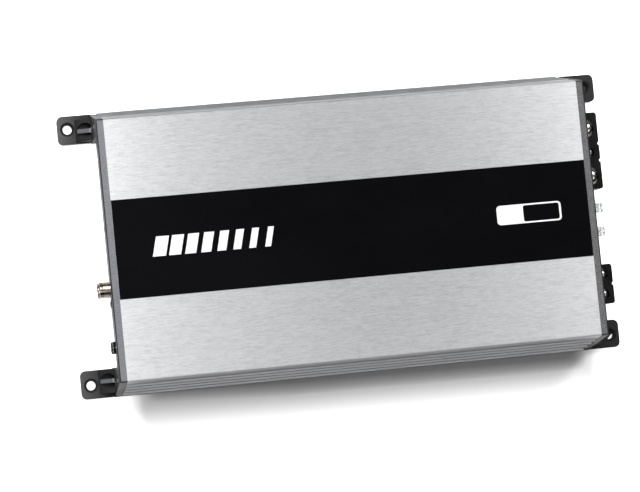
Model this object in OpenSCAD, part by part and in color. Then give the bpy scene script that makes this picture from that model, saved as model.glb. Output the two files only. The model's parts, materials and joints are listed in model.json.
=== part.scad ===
// Car audio amplifier: finned aluminium body, cast end caps with mounting ears,
// input panel on the left end, power and speaker panel on the right end.
// Millimetres. Origin at the centre of the base, +X towards the power end, +Z up.

/* [Body] */
// Length of the finned body
body_l = 259; // [200:1:360]
// Depth across the base
base_d = 155; // [140:0.5:200]
// Depth across the flat top
top_d = 139.7; // [120:0.1:190]
// Height
body_h = 46; // [40:1:60]
// Radius of the long top edges
top_r = 1.2; // [0.6:0.1:4]
// Thickness of the top plate
top_t = 7; // [4:0.5:9]
// Half width of the inside
cavity_y = 64.5; // [50:0.5:70]
// Width of one side groove
groove_w = 3.2; // [2:0.2:5]
// Depth of one side groove
groove_depth = 3; // [1:0.25:4]
// Height of the lowest groove
groove_z = 8; // [7:0.25:14]
// Spacing of the grooves
groove_pitch = 8.7; // [6:0.1:12]
// Radius of the upper edge of each fin
fin_r = 1; // [0.4:0.1:1.5]
// Number of grooves on each side
groove_n = 4; // [1:1:4]

/* [Top strip] */
// Depth of the black strip
strip_d = 52.6; // [20:0.2:100]
// Depth of its recess
strip_recess = 1.2; // [0.6:0.1:2]
// Thickness of the strip
strip_t = 1; // [0.5:0.1:1.6]
// Thickness of the raised marks
mark_t = 0.2; // [0.1:0.05:0.4]
// Depth of the marks
mark_d = 10.5; // [6:0.5:20]
// Left end of the slanted bars
mark_x = -110; // [-125:1:0]
// Spacing of the slanted bars
mark_pitch = 8.6; // [5:0.1:12]
// Number of slanted bars
mark_n = 8; // [1:1:10]
// Centre of the badge
badge_x = 96; // [40:1:110]
// Length of the badge
badge_l = 36; // [20:1:50]

/* [End caps] */
// Thickness of an end cap
cap_t = 4; // [3:0.5:6]
// Thickness of an end panel
panel_t = 1.4; // [1:0.1:2]
// Half width of the panel opening
window_y = 61.5; // [40:0.5:62]
// Height of the lower edge of the top lip
window_z = 42.6; // [38:0.1:44]
// Height of the lower edge of the panel
panel_z = 3; // [2:0.5:6]
// Length of a mounting ear beyond the cap
ear_l = 18; // [12:0.5:25]
// Width of a mounting ear
ear_w = 15.5; // [10:0.5:20]
// Thickness of a mounting ear
ear_t = 4; // [3:0.5:6]
// Corner radius of a mounting ear
ear_r = 3; // [1:0.5:5]
// Distance between the mounting holes along X
hole_dx = 292; // [240:0.5:400]
// Distance between the mounting holes along Y
hole_dy = 140; // [100:0.5:200]
// Radius of a mounting hole
hole_r = 2.5; // [2:0.1:4]
// Radius of its countersink
hole_cs_r = 3.9; // [3:0.1:6]

/* [Input end] */
// Y of the input jacks
rca_y = -19.8; // [-30:0.1:0]
// Heights of the input jacks
rca_z = [16.5, 31];
// Outer radius of a jack shell
rca_r = 4.15; // [4:0.01:4.2]
// Distance of a jack's end from the panel
rca_out = 7.8; // [6:0.1:10]
// Y of the two round knobs
knob_y = -51; // [-54:0.5:-40]
// Heights of the two round knobs
knob_z = [17.5, 30.5];
// Radius of a knob
knob_r = 3.25; // [2:0.05:4]
// Distance of a knob's end from the panel
knob_out = 3.5; // [1:0.1:8]
// Y of the two slotted trimmers
trim_y = [6, 22];
// Height of the slotted trimmers
trim_z = 30.5; // [20:0.5:34]
// Y of the centre of the slide switch
switch_y = 14; // [8:0.5:20]
// Height of the slide switch
switch_z = 18; // [15:0.5:24]
// Travel of the slide switch
switch_travel = 2.4; // [1:0.2:4]
// Y of the remote socket
remote_y = 36; // [30:0.5:44]
// Height of the remote socket
remote_z = 20; // [18:0.5:26]
// Y of the two lamps
lamp_y = 49; // [46:0.5:52]
// Heights of the two lamps
lamp_z = [23, 31];

/* [Power end] */
// Distance of the terminal blocks' outer face from the panel
block_out = 11.6; // [8:0.1:14]
// Height of the top of the terminal blocks
block_top = 34; // [28:0.5:38]
// Height of the bottom of the terminal blocks
block_bottom = 13; // [12:0.5:18]
// Edges of the power block's three pole housings along Y
power_y = [10.5, 26.3, 35.6, 53];
// Y of the three power poles: ground, remote, positive
pole_y = [18, 31, 44.5];
// Radius of a main wire entry
power_bore_r = 4.25; // [3:0.05:5]
// Radius of the remote wire entry
remote_bore_r = 1.75; // [1:0.05:2.2]
// Edges of the speaker block's two pole housings along Y
speaker_y = [-53, -42, -31];
// Size of the notches between pole housings
notch_w = 1.1; // [0:0.1:2]
// Y of the two speaker poles: negative, positive
speaker_pole_y = [-47.5, -36.5];
// Radius of a speaker wire entry
speaker_bore_r = 2.75; // [2:0.05:3.5]
// Height of the wire entries
bore_z = 22; // [20:0.5:24]
// Y of the two fuses
fuse_y = [-12.8, 0.3];
// Height of the fuses
fuse_z = 22.5; // [21:0.5:24]
// Thickness of a fuse
fuse_t = 5.1; // [5:0.05:5.3]
// Width of a fuse
fuse_w = 19.1; // [18:0.1:20]
// Length of a fuse's housing
fuse_l = 12; // [10:0.5:14]

/* [Inside] */
// Height of the circuit board's underside
board_z = 10; // [9:0.5:12]
// Thickness of the circuit boards
board_t = 1.6; // [1:0.1:2]
// Half width of the main circuit board
board_y = 64.2; // [50:0.1:64.2]
// Thickness of the bottom cover
cover_t = 1.5; // [1:0.1:2]
// X of the power transistors at the back
supply_fet_x = [-16, -2, 12, 26, 40, 54, 68, 82];
// X of the power transistors at the front
output_fet_x = [-58, -44, -30, -16, 12, 26];

/* [Hidden] */
$fn = 48;
eps = 0.01;
// Gap round a part that is let into another, and the smaller gap where it is held
fit = 0.2;
play = 0.05;
half_l = body_l / 2;
panel_x = half_l + panel_t;
cap_x = half_l + cap_t;
ear_x = cap_x + ear_l;
ear_y = base_d / 2 - ear_w - fit;
slope = atan((base_d - top_d) / 2 / body_h);
corner_y = top_d / 2 + top_r * tan(slope) - top_r / cos(slope);
corner_z = body_h - top_r;
ceiling_z = body_h - top_t;
board_top = board_z + board_t;
block_x = panel_x + block_out;
strip_z = body_h - strip_recess;
panel_half = cavity_y - 0.7;
panel_top = window_z + 0.7;
// Inside steps of the body
rail_y = 56.5;
boss_y = 57;
boss_z = 33;
cover_y = 71;
// Marks on the strip
bar_w = 7;
bar_step = 0.55;
bar_slant = 2.6;
badge_r = 2;
badge_line = 0.8;
// Screws: places and sizes
cap_screw_z = [13.1, 30.6];
cap_screw_r = 1.4;
cap_screw_l = 9;
cap_head_r = 2.8;
cap_head_h = 2;
panel_screw_y = 59;
panel_screw_z = [6.2, 36];
panel_screw_r = 1.2;
panel_screw_l = 6.8;
panel_head_r = 2.2;
panel_head_h = 1.1;
cover_screw_x = [-110, -40, 40, 110];
cover_screw_y = 66;
cover_screw_r = 1.4;
cover_head_r = 2.7;
cover_head_h = 1.2;
board_screw_x = [-105, 5, 105];
board_screw_y = 60.5;
board_screw_r = 1.2;
board_head_r = 2.4;
board_head_h = 1.8;
// Cross recess of the small screws: half length and half width of an arm
cross_l = 1.5;
cross_w = 0.3;
// Small boards behind the input panel
control_x = half_l - 10.6;
gain_board_y = [-56, -38.5];
control_board_y = [-2, 53];
small_board_top = 36;
// Input jacks
rca_collar = 0.3;
rca_wall = 0.45;
rca_bore_r = 1.7;
rca_box_l = 18;
rca_box_half = 10.5;
rca_box_top = 38;
rca_screw_r = 1.38;
rca_screw_y = rca_y - 7.9;
rca_screw_z = (rca_z[0] + rca_z[1]) / 2;
// Controls
shaft_r = 1.5;
shaft_l = 8;
skirt_l = 2.5;
control_gap = 0.4;
pointer_w = 0.8;
trim_r = 2.5;
trim_out = 0.4;
pot_w = 9;
pot_back = 3.6;
switch_size = [11, 6];
switch_slot = [6, 2.7];
remote_size = [13, 12];
remote_mouth = 10;
remote_latch = 3.2;
lamp_r = 1.45;
lamp_out = 0.2;
// Terminals. A pole: width of its clamp, radius of its wire entry, its screw and the screw's
// head, radius of the well above the screw, how far the well is stretched along Y, and radius of
// the hole through the housing in front of the wire entry
contact_x = [panel_x + 1.6, block_x - 1];
contact_z = [15, 30];
clamp_x = (contact_x[0] + contact_x[1]) / 2;
power_pole = [12, power_bore_r, 2.45, 3.3, 3.5, 1.2, power_bore_r + 0.4];
remote_pole = [6, remote_bore_r, 1.45, 2.1, 2.3, 0.2, remote_bore_r + 1];
speaker_pole = [8.5, speaker_bore_r, 1.95, 2.45, 2.7, 0.3, speaker_bore_r + 0.4];
power_poles = [power_pole, remote_pole, power_pole];
foot_x = [half_l - 9, half_l - 7.5];
foot_z = [15, 17];
flange_x = [half_l - 2.4, half_l - 0.1];
terminal_head_h = 2.4;
// Fuses
fuse_x = half_l;
blade_z = 5;
blade_half = [0.33, 2.6];
blade_x = [fuse_x - 7.5, fuse_x + 6];
rib_half = 2.1;
socket_y = [fuse_y[0] - 4.8, fuse_y[1] + 4.8];
socket_half_z = 12;
clip_x = [half_l - 11, fuse_x - 0.4];
clip_half = [1.3, 3.2];
// Coils and capacitors: place, and where it applies the radii of core and winding
toroid_at = [48, 6];
toroid_core_r = [11, 19.5];
toroid_core_z = [14, 28];
toroid_wire = 2;
inductor_at = [-30, -14];
inductor_core_r = [6, 12];
inductor_core_z = [13, 24];
inductor_wire = 1.2;
capacitor_top = 36;
supply_cap_r = 8;
rail_cap_r = 9;
// Power transistors and what clamps them to the walls
wall_grip_y = cavity_y - 0.4;
fet_w = 10.2;
fet_z = 15;
fet_body_h = 9.5;
fet_tab_top = 30.5;
fet_tab_t = 1.3;
fet_t = 4.5;
lead_pitch = 2.54;
clamp_z = 17.5;
clamp_w = 5;
clamp_t = 1.2;
clamp_axis_z = clamp_z + clamp_w / 2;
clamp_screw_r = 1.5;
back_clamp_x = [5, 61];
front_clamp_x = [-37, 19];

function side_y(z) = base_d / 2 - tan(slope) * z;

// Profiles drawn in Y and Z, extruded along X
module along_x(x, l) {
    translate([x, 0, 0])
        rotate([90, 0, 90])
            linear_extrude(height = l)
                children();
}

module both_y() {
    children();
    mirror([0, 1, 0])
        children();
}

module both_ends() {
    children();
    mirror([1, 0, 0])
        children();
}

module box(x, y, z) {
    translate([x[0], y[0], z[0]])
        cube([x[1] - x[0], y[1] - y[0], z[1] - z[0]]);
}

// A box along X whose section is centred on y and z
module bar_x(x, y, z, half_y, half_z) {
    box(x, [y - half_y, y + half_y], [z - half_z, z + half_z]);
}

// A round bar along X from x[0] to x[1]
module rod_x(x, y, z, r) {
    translate([x[0], y, z])
        rotate([0, 90, 0])
            cylinder(r = r, h = x[1] - x[0]);
}

// A cone along X, of radius r[0] at x[0] and r[1] at x[1]
module cone_x(x, y, z, r) {
    translate([x[0], y, z])
        rotate([0, 90, 0])
            cylinder(r1 = r[0], r2 = r[1], h = x[1] - x[0]);
}

module rod_z(x, y, z, r) {
    translate([x, y, z[0]])
        cylinder(r = r, h = z[1] - z[0]);
}

// A cross-shaped recess along Z, with arms of half length l and half width w
module cross_z(x, y, z, l, w) {
    box([x - l, x + l], [y - w, y + w], z);
    box([x - w, x + w], [y - l, y + l], z);
}

// The same along X
module cross_x(x, y, z, l, w) {
    bar_x(x, y, z, l, w);
    bar_x(x, y, z, w, l);
}

module outline() {
    side = [corner_y + top_r * cos(slope), corner_z + top_r * sin(slope)];
    polygon([[-base_d / 2, 0], [base_d / 2, 0], side, [corner_y, body_h],
        [-corner_y, body_h], [-side[0], side[1]]]);
    translate([corner_y, corner_z])
        circle(r = top_r);
    translate([-corner_y, corner_z])
        circle(r = top_r);
}

// Points of an arc around c from angle a[0] to angle a[1], in n steps
function arc(c, r, a, n) =
    [for (i = [0:n]) let (t = a[0] + (a[1] - a[0]) * i / n) c + r * [cos(t), sin(t)]];

// Lower edge of a groove, counted from the lowest
function groove_low(i) = groove_z + i * groove_pitch - groove_w / 2;

// The side steps outwards from fin to fin: a fin's outer face, its upper edge and the groove above
function fin_points(i) =
    let (low = i == 0 ? 0 : groove_low(i - 1) + groove_w,
        high = groove_low(i),
        y = side_y(low),
        root = side_y(high) - groove_depth)
    concat([[y, low]], arc([y - fin_r, high - fin_r], fin_r, [0, 90], 6),
        [[root, high], [root, high + groove_w]]);

function top_points() =
    let (z = groove_low(groove_n - 1) + groove_w)
    concat([[side_y(z), z]], arc([corner_y, corner_z], top_r, [slope, 90], 8));

module stepped_profile() {
    side = concat([for (i = [0:groove_n - 1]) each fin_points(i)], top_points());
    n = len(side);
    polygon(concat(side, [for (i = [1:n]) [-side[n - i][0], side[n - i][1]]]));
}

module heatsink_body() {
    color([0.8, 0.81, 0.82])
        difference() {
            along_x(-half_l, body_l)
                stepped_profile();
            heatsink_inside();
            box([-half_l - 1, half_l + 1], [-strip_d / 2 - fit / 2, strip_d / 2 + fit / 2],
                [strip_z, body_h + 1]);
            heatsink_holes();
        }
}

module heatsink_inside() {
    x = [-half_l - 1, half_l + 1];
    box(x, [-rail_y, rail_y], [-1, board_z + 1]);
    box(x, [-cavity_y, cavity_y], [board_z, boss_z]);
    box(x, [-boss_y, boss_y], [board_z, ceiling_z]);
    box(x, [-cover_y, cover_y], [-1, cover_t]);
}

// Screw holes, each a little deeper and wider than its screw
module heatsink_holes() {
    both_ends()
        both_y() {
            for (z = cap_screw_z)
                rod_x([half_l - cap_screw_l + 1, half_l + 1], cap_screw_y(z), z, cap_screw_r + play);
            for (z = panel_screw_z)
                rod_x([half_l - panel_screw_l, half_l + 1], panel_screw_y, z, panel_screw_r + play);
        }
    both_y() {
        for (x = cover_screw_x)
            rod_z(x, cover_screw_y, [0, 9], cover_screw_r + play);
        for (x = board_screw_x)
            rod_z(x, board_screw_y, [3, board_z + 1], board_screw_r + play);
    }
    for (x = back_clamp_x)
        clamp_hole(x, 1);
    for (x = front_clamp_x)
        clamp_hole(x, -1);
}

// The end cap screws stand near the middle of the side wall
function cap_screw_y(z) = (cavity_y + side_y(z)) / 2 - 0.2;

module clamp_hole(x, s) {
    translate([x, s * (cavity_y - 1), clamp_axis_z])
        rotate([-90 * s, 0, 0])
            cylinder(r = clamp_screw_r + play, h = 6);
}

module top_trim_strip() {
    color([0.03, 0.03, 0.035])
        box([-half_l + fit, half_l - fit], [-strip_d / 2, strip_d / 2], [strip_z, strip_z + strip_t]);
}

// Generic slanted bars, each a little narrower than the one before
module strip_bars() {
    y = mark_d / 2;
    color([0.9, 0.9, 0.9])
        for (i = [0:mark_n - 1])
            translate([mark_x + i * mark_pitch, 0, strip_z + strip_t])
                linear_extrude(height = mark_t) {
                    right = bar_w - bar_step * i;
                    polygon([[0, -y], [right, -y], [right + bar_slant, y], [bar_slant, y]]);
                }
}

// A generic outlined rectangle, filled at its left end
module strip_badge() {
    z = strip_z + strip_t;
    color([0.9, 0.9, 0.9])
        difference() {
            badge_shape(badge_l, mark_d, badge_r, [z, z + mark_t]);
            translate([badge_l * 0.19, 0, 0])
                badge_shape(badge_l * 0.56, mark_d - 2 * badge_line, badge_r - badge_line,
                    [strip_z, body_h + 1]);
        }
}

module badge_shape(l, d, r, z) {
    translate([badge_x, 0, 0])
        union() {
            box([-l / 2 + r, l / 2 - r], [-d / 2, d / 2], z);
            box([-l / 2, l / 2], [-d / 2 + r, d / 2 - r], z);
            for (x = [-l / 2 + r, l / 2 - r], y = [-d / 2 + r, d / 2 - r])
                rod_z(x, y, z, r);
        }
}

// One mounting ear at the +X +Y corner, with a ribbed round pocket in its sloping root
module ear() {
    y = [ear_y, ear_y + ear_w];
    root_y = [y[0] + 0.6, y[1] - 2.4];
    root_high = 10.5;
    root_l = 9.5;
    rib_y = ear_y + 6.5;
    rib_w = 2.2;
    rib_high = 7.6;
    rib_l = 7.4;
    pocket_r = 4.2;
    pocket_x = cap_x + 3.4;
    cs_h = hole_cs_r - hole_r;
    difference() {
        union() {
            box([cap_x - 1, ear_x - ear_r], y, [0, ear_t]);
            box([cap_x - 1, ear_x], [y[0] + ear_r, y[1] - ear_r], [0, ear_t]);
            rod_z(ear_x - ear_r, y[0] + ear_r, [0, ear_t], ear_r);
            rod_z(ear_x - ear_r, y[1] - ear_r, [0, ear_t], ear_r);
            ear_wedge(root_y, ear_t - 1, root_high, root_l);
        }
        rod_z(pocket_x, rib_y, [ear_t - 0.6, 20], pocket_r);
        rod_z(hole_dx / 2, hole_dy / 2, [-1, ear_t + 1], hole_r);
        translate([hole_dx / 2, hole_dy / 2, ear_t - cs_h])
            cylinder(r1 = hole_r, r2 = hole_cs_r + eps, h = cs_h + eps);
    }
    ear_wedge([rib_y - rib_w / 2, rib_y + rib_w / 2], ear_t + 1.4, rib_high, rib_l);
}

// A block at the root of the ear whose top falls from z = high to z = low over the length l
module ear_wedge(y, low, high, l) {
    translate([0, y[1], 0])
        rotate([90, 0, 0])
            linear_extrude(height = y[1] - y[0])
                polygon([[cap_x - 1, 1], [cap_x + l, 1], [cap_x + l, low], [cap_x + 1, high],
                    [cap_x - 1, high]]);
}

module end_cap() {
    seat = panel_half + fit;
    difference() {
        union() {
            along_x(half_l, cap_t)
                outline();
            both_y()
                ear();
        }
        box([half_l - 1, panel_x], [-seat, seat], [panel_z, panel_top + fit]);
        box([panel_x - eps, cap_x + 1], [-window_y, window_y], [-1, window_z]);
        both_y()
            for (z = cap_screw_z) {
                rod_x([half_l - 1, cap_x + 1], cap_screw_y(z), z, cap_screw_r + 0.3);
                rod_x([cap_x - cap_head_h - fit, cap_x + 1], cap_screw_y(z), z, cap_head_r + fit);
            }
    }
}

module right_end_cap() {
    color([0.2, 0.2, 0.21])
        end_cap();
}

module left_end_cap() {
    color([0.2, 0.2, 0.21])
        mirror([1, 0, 0])
            end_cap();
}

// A pan-head screw along X: underside of the head at x, pointing to -X
module screw_x(x, y, z, head_r, head_h, r, l) {
    difference() {
        union() {
            rod_x([x, x + head_h], y, z, head_r);
            rod_x([x - l, x + eps], y, z, r);
        }
        cross_x([x + head_h * 0.4, x + head_h + 1], y, z, head_r * 0.6, head_r * 0.11);
    }
}

module end_cap_screws() {
    x = cap_x - cap_head_h - fit;
    color([0.15, 0.15, 0.15])
        both_ends()
            both_y()
                for (z = cap_screw_z)
                    screw_x(x, cap_screw_y(z), z, cap_head_r, cap_head_h, cap_screw_r, cap_screw_l);
}

// Countersunk screws whose heads lie flush in the end panels
module panel_screws() {
    face = panel_x - 0.1;
    neck = face - panel_head_h;
    color([0.15, 0.15, 0.15])
        both_ends()
            both_y()
                for (z = panel_screw_z)
                    difference() {
                        union() {
                            cone_x([neck, face], panel_screw_y, z, [panel_screw_r, panel_head_r]);
                            rod_x([neck - panel_screw_l + 0.2, neck + eps], panel_screw_y, z,
                                panel_screw_r);
                        }
                        cross_x([face - panel_head_h * 0.6, face + 1], panel_screw_y, z,
                            panel_head_r * 0.6, panel_head_r * 0.11);
                    }
}

module panel_plate() {
    cs_h = 1.1;
    difference() {
        box([half_l, panel_x], [-panel_half, panel_half], [panel_z + fit, panel_top]);
        both_y()
            for (z = panel_screw_z) {
                rod_x([half_l - 1, panel_x + 1], panel_screw_y, z, panel_screw_r + 0.25);
                cone_x([panel_x - cs_h, panel_x + eps], panel_screw_y, z,
                    [panel_screw_r + 0.2, panel_head_r + 0.3]);
            }
    }
}

module input_panel() {
    x = [half_l - 1, panel_x + 1];
    color([0.06, 0.06, 0.065])
        mirror([1, 0, 0])
            difference() {
                panel_plate();
                for (z = rca_z)
                    rod_x(x, rca_y, z, rca_r + rca_collar + play);
                rod_x(x, rca_screw_y, rca_screw_z, rca_screw_r + 0.12);
                for (z = knob_z)
                    rod_x(x, knob_y, z, knob_r + control_gap);
                for (y = trim_y)
                    rod_x(x, y, trim_z, trim_r + control_gap);
                bar_x(x, switch_y, switch_z, switch_slot[0] / 2 + 0.6, switch_slot[1] / 2 + 0.25);
                bar_x(x, remote_y, remote_z, remote_size[0] / 2 + fit, remote_size[1] / 2 + fit);
                for (z = lamp_z)
                    rod_x(x, lamp_y, z, lamp_r + 0.15);
            }
}

module power_panel() {
    x = [half_l - 1, panel_x + 1];
    z = [block_bottom - fit, block_top + fit];
    color([0.06, 0.06, 0.065])
        difference() {
            panel_plate();
            box(x, [power_y[0] - fit, power_y[3] + fit], z);
            box(x, [speaker_y[0] - fit, speaker_y[2] + fit], z);
            box(x, [socket_y[0] - fit, socket_y[1] + fit],
                [fuse_z - socket_half_z - fit, fuse_z + socket_half_z + fit]);
        }
}

module bottom_cover() {
    x = half_l - fit;
    y = cover_y - fit;
    color([0.12, 0.12, 0.12])
        difference() {
            box([-x, x], [-y, y], [0, cover_t]);
            both_y()
                for (x = cover_screw_x)
                    translate([x, cover_screw_y, -eps]) {
                        cylinder(r1 = cover_head_r + fit, r2 = cover_screw_r + fit, h = 1.3);
                        cylinder(r = cover_screw_r + fit, h = cover_t + 1);
                    }
        }
}

module bottom_cover_screws() {
    sunk = 0.1;
    color([0.6, 0.6, 0.6])
        both_y()
            for (x = cover_screw_x)
                difference() {
                    union() {
                        translate([x, cover_screw_y, sunk])
                            cylinder(r1 = cover_head_r, r2 = cover_screw_r, h = cover_head_h);
                        rod_z(x, cover_screw_y, [2 * sunk, 8.7], cover_screw_r);
                    }
                    cross_z(x, cover_screw_y, [-1, 0.9], cross_l, cross_w);
                }
}

module main_board() {
    x = half_l - 0.5;
    color([0.1, 0.35, 0.16])
        difference() {
            box([-x, x], [-board_y, board_y], [board_z, board_top]);
            both_y()
                for (x = board_screw_x)
                    rod_z(x, board_screw_y, [0, board_top + 1], board_screw_r + 0.4);
        }
}

module board_screws() {
    color([0.7, 0.7, 0.7])
        both_y()
            for (x = board_screw_x)
                difference() {
                    union() {
                        rod_z(x, board_screw_y, [board_top, board_top + board_head_h], board_head_r);
                        rod_z(x, board_screw_y, [4, board_top + eps], board_screw_r);
                    }
                    cross_z(x, board_screw_y, [board_top + 0.8, board_top + 3], cross_l, cross_w);
                }
}

module gain_board() {
    color([0.1, 0.35, 0.16])
        box([-control_x, -control_x + board_t], gain_board_y, [board_top, small_board_top]);
}

module control_board() {
    color([0.1, 0.35, 0.16])
        box([-control_x, -control_x + board_t], control_board_y, [board_top, small_board_top]);
}

module rca_housing() {
    color([0.05, 0.05, 0.05])
        difference() {
            box([-half_l, -half_l + rca_box_l], [rca_y - rca_box_half, rca_y + rca_box_half],
                [board_top, rca_box_top]);
            for (z = rca_z) {
                rod_x([-half_l - 1, -half_l + 2], rca_y, z, rca_r + rca_collar + play);
                rod_x([-half_l - 1, -half_l + 12], rca_y, z, rca_bore_r);
            }
            rod_x([-half_l - 1, -half_l + 7], rca_screw_y, rca_screw_z, rca_screw_r + 0.02);
        }
}

module rca_shells() {
    tip = -panel_x - rca_out;
    color([0.85, 0.83, 0.78])
        for (z = rca_z)
            difference() {
                union() {
                    rod_x([tip, -half_l + 2], rca_y, z, rca_r);
                    rod_x([-panel_x, -half_l + 2], rca_y, z, rca_r + rca_collar);
                }
                rod_x([tip - 1, -half_l + 3], rca_y, z, rca_r - rca_wall);
            }
}

module rca_insulators() {
    tip = -panel_x - rca_out;
    color([0.85, 0.85, 0.82])
        for (z = rca_z)
            difference() {
                rod_x([tip + 1.2, -half_l + 2], rca_y, z, rca_r - rca_wall - 0.02);
                rod_x([tip - 1, -half_l + 3], rca_y, z, rca_bore_r);
            }
}

module rca_contacts() {
    tip = -panel_x - rca_out;
    color([0.85, 0.75, 0.5])
        for (z = rca_z)
            difference() {
                rod_x([tip + 1.4, -half_l + 12], rca_y, z, rca_bore_r - 0.02);
                rod_x([tip, -half_l + 9], rca_y, z, rca_bore_r - 0.3);
            }
}

module rca_fixing_screw() {
    color([0.5, 0.5, 0.5])
        mirror([1, 0, 0])
            screw_x(panel_x, rca_screw_y, rca_screw_z, 2.75, 2.3, rca_screw_r, 8);
}

// Square potentiometer bodies behind the panel, soldered to the two small boards
module pot_bodies() {
    color([0.1, 0.2, 0.45]) {
        for (z = knob_z)
            pot_body(knob_y, z);
        for (y = trim_y)
            pot_body(y, trim_z);
    }
}

module pot_body(y, z) {
    difference() {
        bar_x([-half_l + pot_back, -control_x], y, z, pot_w / 2, pot_w / 2);
        rod_x([-half_l - 1, -half_l + shaft_l + 0.2], y, z, shaft_r + play);
    }
}

// A round knob on its shaft, with a pointer slot in its face and down its side
module knob(z) {
    tip = -panel_x - knob_out;
    y = [knob_y - pointer_w / 2, knob_y + pointer_w / 2];
    difference() {
        union() {
            rod_x([tip, -half_l + skirt_l], knob_y, z, knob_r);
            rod_x([-half_l, -half_l + shaft_l], knob_y, z, shaft_r);
        }
        box([tip - 1, tip + 0.5], y, [z + 0.6, z + knob_r + 1]);
        box([tip - 1, -panel_x], y, [z + knob_r - 0.4, z + knob_r + 1]);
    }
}

module level_knob() {
    color([0.04, 0.04, 0.04])
        knob(knob_z[1]);
}

module lowpass_knob() {
    color([0.04, 0.04, 0.04])
        knob(knob_z[0]);
}

module trimmer(y) {
    tip = -panel_x - trim_out;
    difference() {
        union() {
            rod_x([tip, -half_l + skirt_l], y, trim_z, trim_r);
            rod_x([-half_l, -half_l + shaft_l], y, trim_z, shaft_r);
        }
        bar_x([tip - 1, tip + 1], y, trim_z, trim_r + 1, pointer_w / 2);
    }
}

module bass_trimmer() {
    color([0.9, 0.9, 0.88])
        trimmer(trim_y[0]);
}

module subsonic_trimmer() {
    color([0.9, 0.9, 0.88])
        trimmer(trim_y[1]);
}

module phase_switch_body() {
    color([0.6, 0.6, 0.62])
        difference() {
            bar_x([-half_l + 0.4, -control_x], switch_y, switch_z, switch_size[0] / 2, switch_size[1] / 2);
            bar_x([-half_l - 1, -half_l + 4.6], switch_y, switch_z, switch_slot[0] / 2,
                switch_slot[1] / 2);
        }
}

// At rest the slider stands at the low-Y end of its slot
module phase_switch_slider() {
    y = switch_y - switch_travel / 2;
    color([0.05, 0.05, 0.05]) {
        bar_x([-half_l + 2.5, -half_l + 4.5], y, switch_z, 1.6, 1.25);
        bar_x([-panel_x - 1.2, -half_l + 2.6], y, switch_z, 1.1, 1.1);
    }
}

module remote_socket() {
    mouth = remote_mouth / 2;
    latch = remote_latch / 2;
    color([0.07, 0.07, 0.07])
        difference() {
            bar_x([-panel_x, -control_x], remote_y, remote_z, remote_size[0] / 2, remote_size[1] / 2);
            box([-panel_x - 1, -control_x - 2], [remote_y - mouth, remote_y + mouth],
                [remote_z - 4.2, remote_z + 3.6]);
            box([-panel_x - 1, -control_x - 3], [remote_y - latch, remote_y + latch],
                [remote_z - 5.2, remote_z]);
        }
}

module remote_contacts() {
    pitch = 1.5;
    color([0.85, 0.7, 0.35])
        for (i = [-1.5:1:1.5])
            bar_x([-panel_x + 2, -control_x - 2], remote_y + i * pitch, remote_z + 3.25, 0.25, 0.35);
}

module lamp(z) {
    x = -panel_x - lamp_out;
    difference() {
        union() {
            rod_x([x, -control_x], lamp_y, z, lamp_r);
            translate([x, lamp_y, z])
                sphere(r = lamp_r);
        }
        bar_x([-control_x - 0.5, -control_x + 3], lamp_y, z, 2, 2);
    }
}

module power_led() {
    color([0.1, 0.3, 0.9])
        lamp(lamp_z[1]);
}

module protect_led() {
    color([0.9, 0.1, 0.1])
        lamp(lamp_z[0]);
}

// One clamp: a metal block with a wire entry along X, a screw hole from above and a soldered foot
module clamp_block(y, pole) {
    half = pole[0] / 2;
    foot_y = [y - half / 2, y + half / 2];
    difference() {
        union() {
            box(contact_x, [y - half, y + half], contact_z);
            box([foot_x[0], contact_x[0] + eps], foot_y, foot_z);
            box(foot_x, foot_y, [board_top, foot_z[1]]);
        }
        rod_x([contact_x[0] - 1, contact_x[1] + 1], y, bore_z, pole[1]);
        rod_z(clamp_x, y, [bore_z, contact_z[1] + 1], pole[2] + play);
    }
}

// The hollow of one pole housing: clamp, foot, wire entry and screw well
module clamp_pocket(y, pole) {
    half = pole[0] / 2 + play;
    foot = pole[0] / 4 + play;
    box([contact_x[0] - play, contact_x[1] + play], [y - half, y + half],
        [contact_z[0] - play, contact_z[1] + play]);
    box([foot_x[0] - 3, contact_x[0] + 1], [y - foot, y + foot], [foot_z[0] - play, foot_z[1] + play]);
    rod_x([contact_x[1] - 1, block_x + 1], y, bore_z, pole[6]);
    screw_well(y, pole[4], pole[5]);
}

// The opening above a terminal screw, longer along Y than along X
module screw_well(y, r, stretch) {
    z = [contact_z[1] - 1, block_top + 1];
    box([clamp_x - r, clamp_x + r], [y - stretch, y + stretch], z);
    for (s = [-1, 1])
        rod_z(clamp_x, y + s * stretch, z, r);
}

// The housing of one pole between y[0] and y[1]. The ends of y listed in notched meet another
// housing, and have half a notch cut in their outer corner.
module pole_housing(y, notched) {
    edges = [y[0] + play, y[1] - play];
    difference() {
        union() {
            box([half_l - 5, block_x], edges, [block_bottom, block_top]);
            box(flange_x, edges, [board_top, block_top + 2]);
        }
        for (i = notched)
            notch(y[i]);
    }
}

module notch(y) {
    side = notch_w * sqrt(2);
    translate([block_x, y, block_bottom - 1])
        rotate([0, 0, 45])
            translate([-side / 2, -side / 2, 0])
                cube([side, side, block_top - block_bottom + 2]);
}

module clamp_screw(y, pole) {
    z = contact_z[1] + 1;
    r = pole[3];
    difference() {
        union() {
            rod_z(clamp_x, y, [z, z + terminal_head_h], r);
            rod_z(clamp_x, y, [bore_z + 4.7, z + eps], pole[2]);
        }
        cross_z(clamp_x, y, [z + 1.1, z + 4], r * 0.65, 0.4);
    }
}

module power_block() {
    color([0.04, 0.04, 0.045])
        difference() {
            union() {
                pole_housing([power_y[0], power_y[1]], [1]);
                pole_housing([power_y[1], power_y[2]], [0, 1]);
                pole_housing([power_y[2], power_y[3]], [0]);
            }
            for (i = [0:2])
                clamp_pocket(pole_y[i], power_poles[i]);
        }
}

module power_contacts() {
    color([0.8, 0.7, 0.45])
        for (i = [0:2])
            clamp_block(pole_y[i], power_poles[i]);
}

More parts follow.
